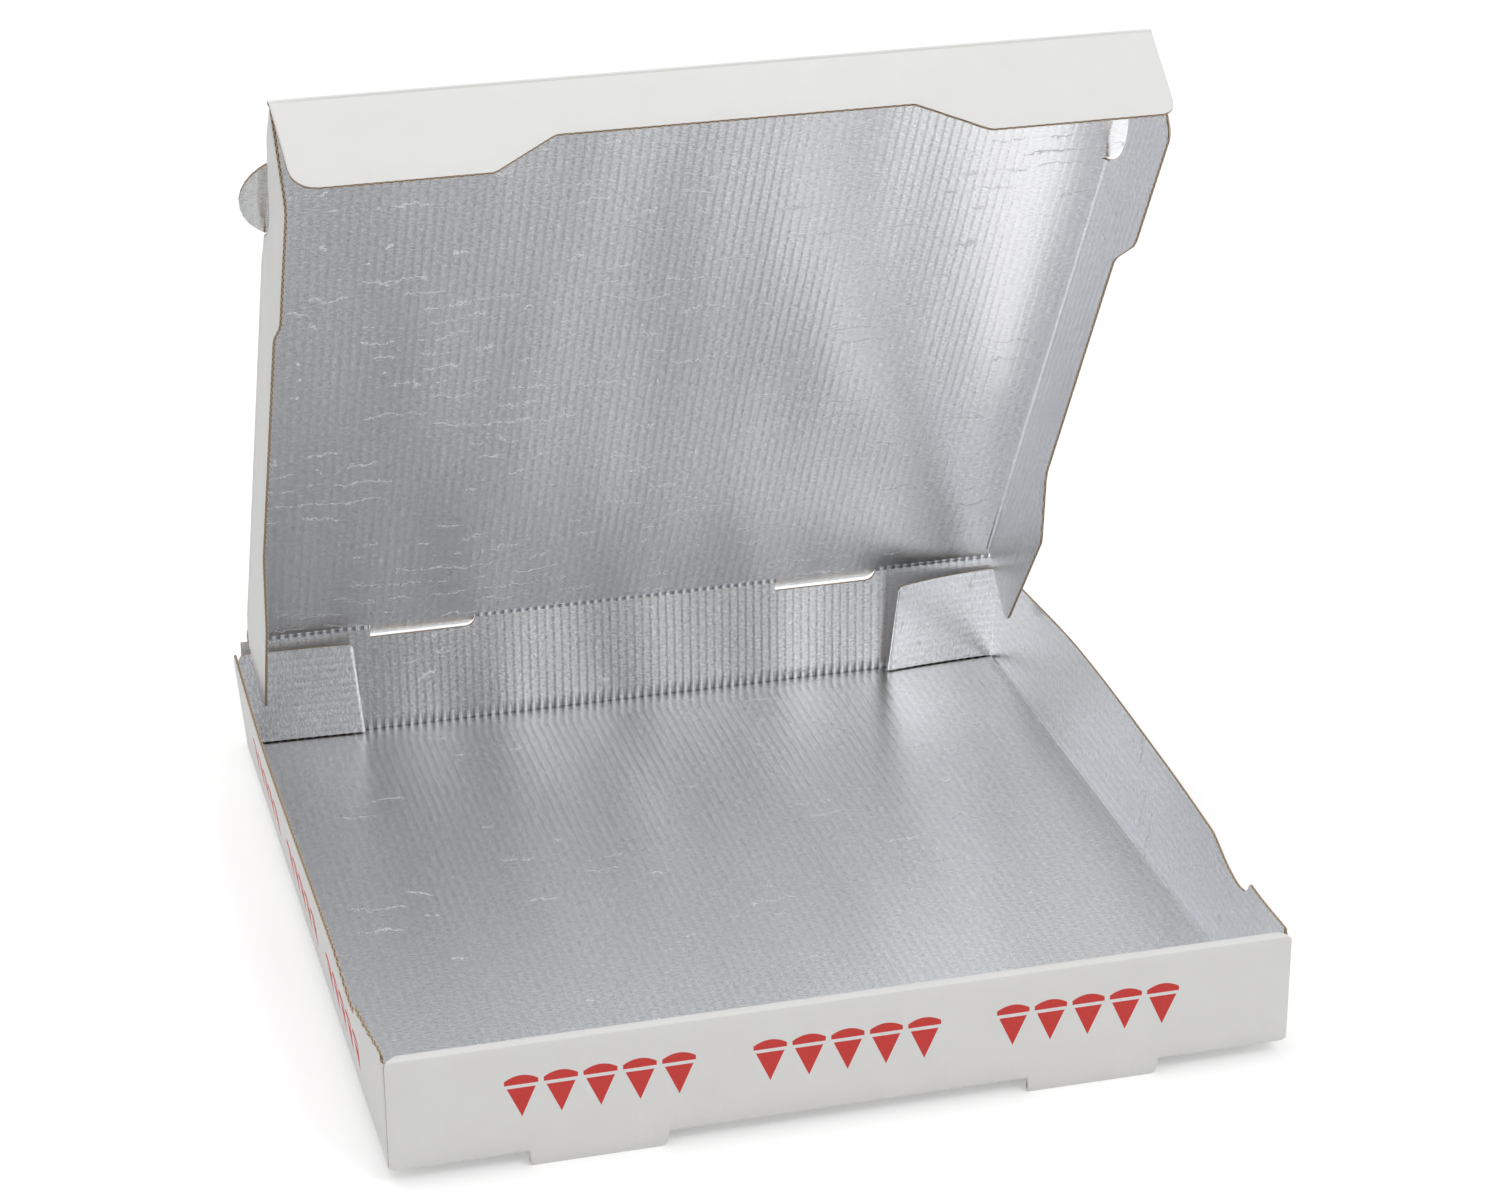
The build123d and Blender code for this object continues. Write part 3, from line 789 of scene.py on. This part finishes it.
# Front and rear stand square, so nothing at a corner pokes past them
for vertex in tray.data.vertices:
    vertex.co.y = min(max(vertex.co.y, -HALF_D * MM), HALF_D * MM)
tray.data.materials.append(front_print)
tray.data.materials.append(side_print)
LINER_SLOT, FRONT_SLOT, SIDE_SLOT = 1, 3, 4
for face in tray.data.polygons:
    if face.material_index != LINER_SLOT:
        continue
    if face.normal.y < -0.9 and face.center.y < (-HALF_D + 0.4) * MM:
        face.material_index = FRONT_SLOT
    elif abs(face.normal.x) > 0.9 and abs(face.center.x) > (HALF_W - 0.3) * MM:
        face.material_index = SIDE_SLOT
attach(tray, "tray")
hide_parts("tray")


# ---------------------------------------------------------------- lid pieces

LID_U = Vector((0, -cos(LID_ANGLE), sin(LID_ANGLE)))
LID_N = Vector((0, -sin(LID_ANGLE), -cos(LID_ANGLE)))
LID_AT = Vector((0, HINGE_Y, HINGE))


def on_lid(a, u, d):
    """A place on the lid: across, up from the hinge, and in from the board's middle."""
    return LID_AT + Vector((a, 0, 0)) + LID_U * u + LID_N * d


def buckle(a, u):
    """The lid has buckled in a shallow fan that spreads from its right hinge corner."""
    reach = sqrt((FOLD_HALF - a) ** 2 + u * u)
    turn = degrees(atan2(FOLD_HALF - a, u))
    fade = min(reach / 25, 1.0) * min(max((300 - reach) / 150, 0.0), 1.0)
    fade *= min(max((panel_edge - a) / 15, 0.0), 1.0)
    slope = 0.0
    # The direction in degrees from the fold, the width and the slope of each ridge
    for middle, width, rise in ((9, 5, 0.005), (28, 7, 0.008), (70, 12, 0.015)):
        slope += rise * exp(-(((turn - middle) / width) ** 2) / 2)
    return reach * fade * slope


def lid_face(a, u):
    return on_lid(a, u, BOARD / 2 + buckle(a, u))


def crowded_at_ends(start, end):
    """Places along a half-moon's chord, closest where its curve is steepest."""
    return [start + (end - start) * (0.5 - 0.5 * cos(pi * k / 12)) for k in range(13)]


lid_tongues = [(-SLOT[1] + SLOT_GAP, -SLOT[0] - SLOT_GAP), (SLOT[0] + SLOT_GAP, SLOT[1] - SLOT_GAP)]
lid_tongue_radius = SLOT_RADIUS - SLOT_GAP
lid_tongue_reach = 6.0
tongue_stops = []
for start, end in lid_tongues:
    tongue_stops += [start, *(end - back for back in (lid_tongue_radius, 2.4, 1.2, 0.4)), end]
panel_edge = FOLD_HALF - SIDE_MARGIN
lid_across = spread(-panel_edge, *tongue_stops, panel_edge)
lid_ends = (HINGE_MARGIN, LID_LENGTH - FOLD_MARGIN)
ear_stops = crowded_at_ends(*EAR)
lid_along = spread(*lid_ends, *LID_CORNERS, *ear_stops, EAR[0] - 0.6, EAR[1] + 0.6)
panel = lay_sheet("lid_board", lid_across, lid_along)
mark_flat(panel)
fold(panel, lid_face)
pieces = [panel]
for side in (-1, 1):
    out = [side * (panel_edge + (SIDE_MARGIN + EAR_REACH) * k / 5) for k in range(6)]
    ear = lay_sheet("ear", sorted(out), ear_stops)

    def ear_outline(s, t, side=side):
        share = (abs(s) - panel_edge) / (SIDE_MARGIN + EAR_REACH)
        return side * (panel_edge + share * (SIDE_MARGIN + ear_rise(t))), t

    shape(ear, ear_outline)
    mark_flat(ear)
    fold(ear, lid_face)
    pieces.append(ear)
for side in (-1, 1):
    corner_lines = sorted((side * panel_edge, side * (FOLD_HALF + 0.4)))
    for ends in zip(lid_ends, LID_CORNERS):
        corner = lay_sheet("lid_corner", corner_lines, sorted(ends))
        mark_flat(corner)
        fold(corner, lid_face)
        pieces.append(corner)
for start, end in lid_tongues:
    lines = [s for s in lid_across if start - 0.01 <= s <= end + 0.01]
    levels = [HINGE_MARGIN - lid_tongue_reach * (3 - k) / 3 for k in range(4)]
    tongue = lay_sheet("hinge_tongue", lines, levels)

    def tongue_outline(s, t, end=end):
        reach = lid_tongue_reach - round_off(end - s, lid_tongue_radius)
        return s, HINGE_MARGIN - (HINGE_MARGIN - t) / lid_tongue_reach * reach

    shape(tongue, tongue_outline)
    mark_flat(tongue)
    fold(tongue, lid_face)
    pieces.append(tongue)
lid = join("lid_board", pieces)
thicken(lid, 0.72)
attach(lid, "lid")
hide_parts("lid")

# Front flap


def on_front_flap(a, v):
    """Foil face of the front flap: across, and down from the lid's fold."""
    return LID_AT + Vector((a, 0, 0)) + LID_U * (LID_LENGTH - BOARD / 2) + LID_N * v


FRONT_DEPTH = 38.0
FRONT_TAPER = 2.0
FRONT_END = LID_HALF - FRONT_TAPER
RECESS_AT = (58.2, 59.3, 60.3, 80.9, 81.9, 83.0)
RECESS_DEPTH = (24.5, 24.7, 25.1, 37.4, 37.8, FRONT_DEPTH)


def front_flap_depth(a):
    """Cut edge of the front flap: its recess, and a round corner at each end."""
    depth = along_stops(abs(a), RECESS_AT, RECESS_DEPTH)
    return depth - round_off(FRONT_END - abs(a), 8.0 if a < 0 else 5.0)


end_stops = [FRONT_END - back for back in (0.0, 0.4, 1.2, 2.4, 4.0, 6.0, 8.0)]
flap_across = spread(*[side * stop for side in (-1, 1) for stop in (*end_stops, *RECESS_AT)])
front_flap = lay_sheet("lid_front_flap_board", flap_across, [k / 9 for k in range(10)])


def front_flap_outline(s, t):
    depth = FOLD_MARGIN + t * (front_flap_depth(s) - FOLD_MARGIN)
    return s * (LID_HALF - FRONT_TAPER * depth / FRONT_DEPTH) / FRONT_END, -depth


shape(front_flap, front_flap_outline)
mark_flat(front_flap)
fold(front_flap, lambda s, t: on_front_flap(s, -t))
thicken(front_flap, 0.3)
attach(front_flap, "front_flap")
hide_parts("lid_front_flap")

# Side flaps
FLAP_AT = (FLAP_ENDS[0], 9.5, HEEL[0], 62.0, 84.0, 88.0, 209.0, 213.0, 229.0, 233.0, 298.0)
FLAP_DEPTH = (36.5, 36.6, HEEL[1], 36.4, 26.4, 25.5, 25.5, 26.6, 35.2, 36.0, 36.0)


def flap_directions(side):
    """Down along a side flap, and inward from its foil face."""
    out = Vector((side, 0, 0))
    down = LID_N * cos(FLAP_SPLAY) + out * sin(FLAP_SPLAY)
    return down, LID_N * sin(FLAP_SPLAY) - out * cos(FLAP_SPLAY)


def side_flap(side, body):
    """Dust flap: deep at both ends, with a waist and the hole its ear leaves."""
    name = "lid_" + body
    down, inward = flap_directions(side)
    hole = crowded_at_ends(EAR[0] - EAR_GAP, EAR[1] + EAR_GAP)
    rear, toe = FLAP_ENDS
    ends = [rear, 5.9, 6.7, 7.9, 9.5, 289.5, 292.5, 295.0, 296.6, toe]
    lines = spread(*ends, *FLAP_AT[1:-1], *hole)
    sheet = lay_sheet(name + "_board", lines, [k / 8 for k in range(9)])
    tail_turn = radians(6.0 if side > 0 else 2.5)
    slope_from, slope = 250.0, 9.5  # the front end slopes back, over its whole depth

    def place(s, u):
        """The flap hangs from the fold; its tail is creased inward from corner to heel."""
        depth = abs(s) - FOLD_HALF
        past = max(0.0, depth - HEEL[1] * (u - rear) / (HEEL[0] - rear)) * 0.82
        foil_face = BOARD / 2 + past * sin(tail_turn)
        return on_lid(side * FOLD_HALF, u, 0) + down * depth + inward * foil_face

    def outline(u, share):
        top = SIDE_MARGIN
        if hole[0] < u < hole[-1]:
            top = max(top, ear_rise(u, hole[0], hole[-1], EAR_REACH + EAR_GAP))
        bottom = along_stops(u, FLAP_AT, FLAP_DEPTH)
        bottom -= round_off(u - rear, 4.0) + round_off(toe - u, 5.0)
        depth = top + share * (bottom - top)
        if u > slope_from:
            back = slope * depth / FLAP_DEPTH[-1] / (toe - slope_from)
            u = slope_from + (u - slope_from) * (1 - back)
        return u, depth

    shape(sheet, outline)
    for vertex in sheet.data.vertices:
        u, depth = vertex.co.x, vertex.co.y
        vertex.co = (side * (FOLD_HALF + depth), u, 0)
    mark_flat(sheet)
    fold(sheet, place)
    face_foil(sheet, inward)
    thicken(sheet, 0.2)
    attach(sheet, body)
    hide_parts(name)


side_flap(-1, "left_flap")
side_flap(1, "right_flap")


# -------------------------------------------------------------------- folds


def corner_path(first, second, corner, radius, bead=0.0):
    """Points from first to second round a corner between two straight runs.

    A bead is what the creasing rule pushes up along the inside of the fold.
    """
    back = (first - corner).normalized()
    on = (second - corner).normalized()
    bisector = (back + on).normalized()
    start = corner + back * radius
    end = corner + on * radius
    points = [first, start]
    steps = 6
    for k in range(1, steps):
        share = k / steps
        a = start.lerp(corner, share)
        b = corner.lerp(end, share)
        points.append(a.lerp(b, share) + bisector * bead * sin(pi * share))
    return points + [end, second]


def fold_strip(name, span, path, flat_from, inward, runs_across=True):
    """Board over a fold that turns: its foil side follows path.

    Span gives the two ends and the direction they run in, and flat_from where path
    starts on the flat blank and which way it goes there.
    """
    low, high, direction = span
    flat_start, flat_way = flat_from
    lines = spread(low, high, cell=12.0)
    sheet = lay_sheet(name, lines, list(range(len(path))))
    length = [0.0]
    for a, b in zip(path, path[1:]):
        length.append(length[-1] + (b - a).length)
    places = []
    for vertex in sheet.data.vertices:
        run, step = vertex.co.x, round(vertex.co.y)
        along = flat_start + flat_way * length[step]
        vertex.co = (run, along, 0) if runs_across else (along, run, 0)
        places.append((path[step] + direction * run) * MM)
    mark_flat(sheet)
    for vertex, place in zip(sheet.data.vertices, places):
        vertex.co = place
    face_foil(sheet, inward)
    on_crease = list(range(2 * len(lines), (len(path) - 2) * len(lines)))
    thicken(sheet, 0.5, lambda p: runs_across, on_crease)
    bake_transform(sheet)


X = Vector((1, 0, 0))
wall_top_foil = Vector((0, INNER_D, HINGE - HINGE_MARGIN))
lid_foot_foil = on_lid(0, HINGE_MARGIN, BOARD / 2)
# Where the foil faces of rear wall and lid meet
foil_line = on_lid(0, 0, BOARD / 2)
reach = (INNER_D - foil_line.y) / LID_U.y
hinge_corner = foil_line + LID_U * reach
hinge_path = corner_path(wall_top_foil, lid_foot_foil, hinge_corner, 0.7, 0.15)
hinge_flat = (INNER_D + HINGE - HINGE_MARGIN - BOARD, 1)
hinge_end = 147.2
hinge_runs = ((-hinge_end, -SLOT[1] - 0.05), (-SLOT[0], SLOT[0] - 0.05), (SLOT[1], hinge_end))
for k, (low, high) in enumerate(hinge_runs):
    span, name = (low, high, X), f"hinge_fold_{k + 1}"
    fold_strip(name, span, hinge_path, hinge_flat, Vector((0, -1, 0)))

front_first = on_lid(0, LID_LENGTH - FOLD_MARGIN, BOARD / 2)
front_second = on_front_flap(0, FOLD_MARGIN)
front_corner = on_lid(0, LID_LENGTH - BOARD / 2, BOARD / 2)
front_path = corner_path(front_first, front_second, front_corner, 0.8)
front_span = (-LID_HALF, LID_HALF, X)
front_flat = (LID_LENGTH - FOLD_MARGIN, 1)
fold_strip("front_flap_fold", front_span, front_path, front_flat, LID_N)

for side, body in ((-1, "left_flap"), (1, "right_flap")):
    down, inward = flap_directions(side)
    first = on_lid(side * panel_edge, 0, BOARD / 2)
    second = on_lid(side * FOLD_HALF, 0, 0) + down * SIDE_MARGIN + inward * BOARD / 2
    corner = on_lid(side * (FOLD_HALF - BOARD / 2), 0, BOARD / 2)
    path = corner_path(first, second, corner, 1.0, 0.5)
    side_flat = (side * panel_edge, side)
    side_runs = ((FLAP_ENDS[0], EAR[0] - EAR_GAP), (EAR[1] + EAR_GAP, FLAP_ENDS[1] - 0.5))
    for k, (low, high) in enumerate(side_runs):
        span, name = (low, high, LID_U), f"{body}_fold_{k + 1}"
        foil_side = LID_N - X * side
        fold_strip(name, span, path, side_flat, foil_side, runs_across=False)


# ------------------------------------------------------------ stage and light

bpy.ops.object.select_all(action="DESELECT")
bpy.ops.mesh.primitive_plane_add(size=30)
floor = bpy.context.object
floor.name = "studio_floor"
# The box stands on its two front tongues and its rear edge
lean_back = asin((TONGUE_DROP - BOARD) / (2 * HALF_D))
floor.rotation_euler = (lean_back, 0, 0)
floor.location = (0, HALF_D * MM, 0)
# Matt paper, lifted to white where it is seen, with the box's shadow left on it
paper, tree, shader = new_material("white_studio_paper")
plug(tree, shader, {"Base Color": srgb("#F2F2F2"), "Roughness": 0.9, "Specular IOR Level": 0.1})
kinds = node(tree, "LightPath").outputs
seen = {0: kinds["Is Camera Ray"], 1: kinds["Is Glossy Ray"]}
seen = node(tree, "Math", seen, operation="MAXIMUM")
seen = node(tree, "Math", {0: seen, 1: kinds["Is Transmission Ray"]}, operation="MAXIMUM")
lift = node(tree, "Math", {0: seen, 1: 0.3}, operation="MULTIPLY")
plug(tree, shader, {"Emission Color": (1, 1, 1, 1), "Emission Strength": lift})
floor.data.materials.append(paper)

world = bpy.data.worlds.new("soft_studio")
bpy.context.scene.world = world
world.use_nodes = True
tree = world.node_tree
background = tree.nodes["Background"]
kinds = node(tree, "LightPath").outputs
direction = node(tree, "TexCoord").outputs["Generated"]
side, ahead, up = node(tree, "SeparateXYZ", {0: direction}).outputs
dome = node(tree, "MapRange", {"Value": up, "To Min": 0.35, "To Max": 0.75})
# Polished foil sees the white backdrop all round, except for the dark gap where the
# camera stands between two wide soft windows, and a ceiling that is lit from both sides.
# Each pair is a place from left, -1, to right, 1, and how bright the room is there.
BRIGHTEST = 2.0
IN_FRONT = (
    (-0.95, 1.0),
    (-0.6, 1.1),
    (-0.4, 1.9),
    (-0.2, 0.8),
    (-0.08, 0.05),
    (0.12, 0.02),
    (0.2, 0.3),
    (0.26, 0.9),
    (0.4, 1.2),
    (0.52, 1.4),
    (0.7, 1.0),
    (0.95, 0.65),
)
CEILING = ((-0.5, 2.0), (0.1, 0.25), (0.6, 2.0))
OVERHEAD = ((-0.5, 0.6), (0.1, 0.2), (0.6, 2.0))
walls = []
for stops in (IN_FRONT, CEILING, OVERHEAD):
    place = node(tree, "MapRange", {"Value": side, "From Min": -1.0})
    wall = node(tree, "ValToRGB", {0: place})
    levels = wall.color_ramp.elements
    levels.remove(levels[1])
    for k, (where, power) in enumerate(stops):
        level = levels.new((where + 1) / 2) if k else levels[0]
        level.position = (where + 1) / 2
        level.color = (*[power / BRIGHTEST] * 3, 1)
    walls.append(node(tree, "Math", {0: wall, 1: BRIGHTEST}, operation="MULTIPLY"))
falling = {"From Min": -0.3, "From Max": 0.1, "To Min": 1.0, "To Max": 0.0}
in_front = node(tree, "MapRange", {"Value": ahead, **falling})
behind = 0.55
room = node(tree, "Mix", {0: in_front, 2: behind, 3: walls[0]}, data_type="FLOAT")
for low, high, wall in ((0.56, 0.75, walls[1]), (0.75, 0.95, walls[2])):
    over = node(tree, "MapRange", {"Value": up, "From Min": low, "From Max": high})
    room = node(tree, "Mix", {0: over, 2: room, 3: wall}, data_type="FLOAT")
strength = node(tree, "Mix", {0: kinds["Is Glossy Ray"], 2: dome, 3: room}, data_type="FLOAT")
seen = {0: kinds["Is Camera Ray"], 1: kinds["Is Transmission Ray"]}
seen = node(tree, "Math", seen, operation="MAXIMUM")
strength = node(tree, "Mix", {0: seen, 2: strength, 3: 1.0}, data_type="FLOAT")
plug(tree, background, {"Color": (1, 1, 1, 1), "Strength": strength})


def softbox(name, place, target, width, power):
    """A square area lamp that points at target."""
    bpy.ops.object.light_add(type="AREA", location=place)
    lamp = bpy.context.object
    lamp.name = name
    lamp.data.shape = "RECTANGLE"
    lamp.data.size = lamp.data.size_y = width
    lamp.data.energy = power
    lamp.rotation_euler = (Vector(target) - Vector(place)).to_track_quat("-Z", "Y").to_euler()
    # The foil mirrors the room's own windows instead
    lamp.visible_glossy = False


softbox("key_softbox", (0.9, -1.5, 2.0), (0, 0, 0.1), 0.9, 13.0)
softbox("top_softbox", (-0.4, 0.3, 2.0), (0, 0, 0), 1.2, 9.0)

bpy.ops.object.camera_add(location=(-0.30173, -1.17438, 0.65973))
camera = bpy.context.object
heading, tilt, roll = radians(-14.809), radians(90 - 24.368), radians(-0.347)
turn = Matrix.Rotation(heading, 3, "Z") @ Matrix.Rotation(tilt, 3, "X")
turn = turn @ Matrix.Rotation(roll, 3, "Z")
camera.rotation_euler = turn.to_euler()
camera.data.sensor_width = 36.0
camera.data.lens = 92.638
bpy.context.scene.camera = camera
bpy.context.scene.view_settings.view_transform = "Standard"
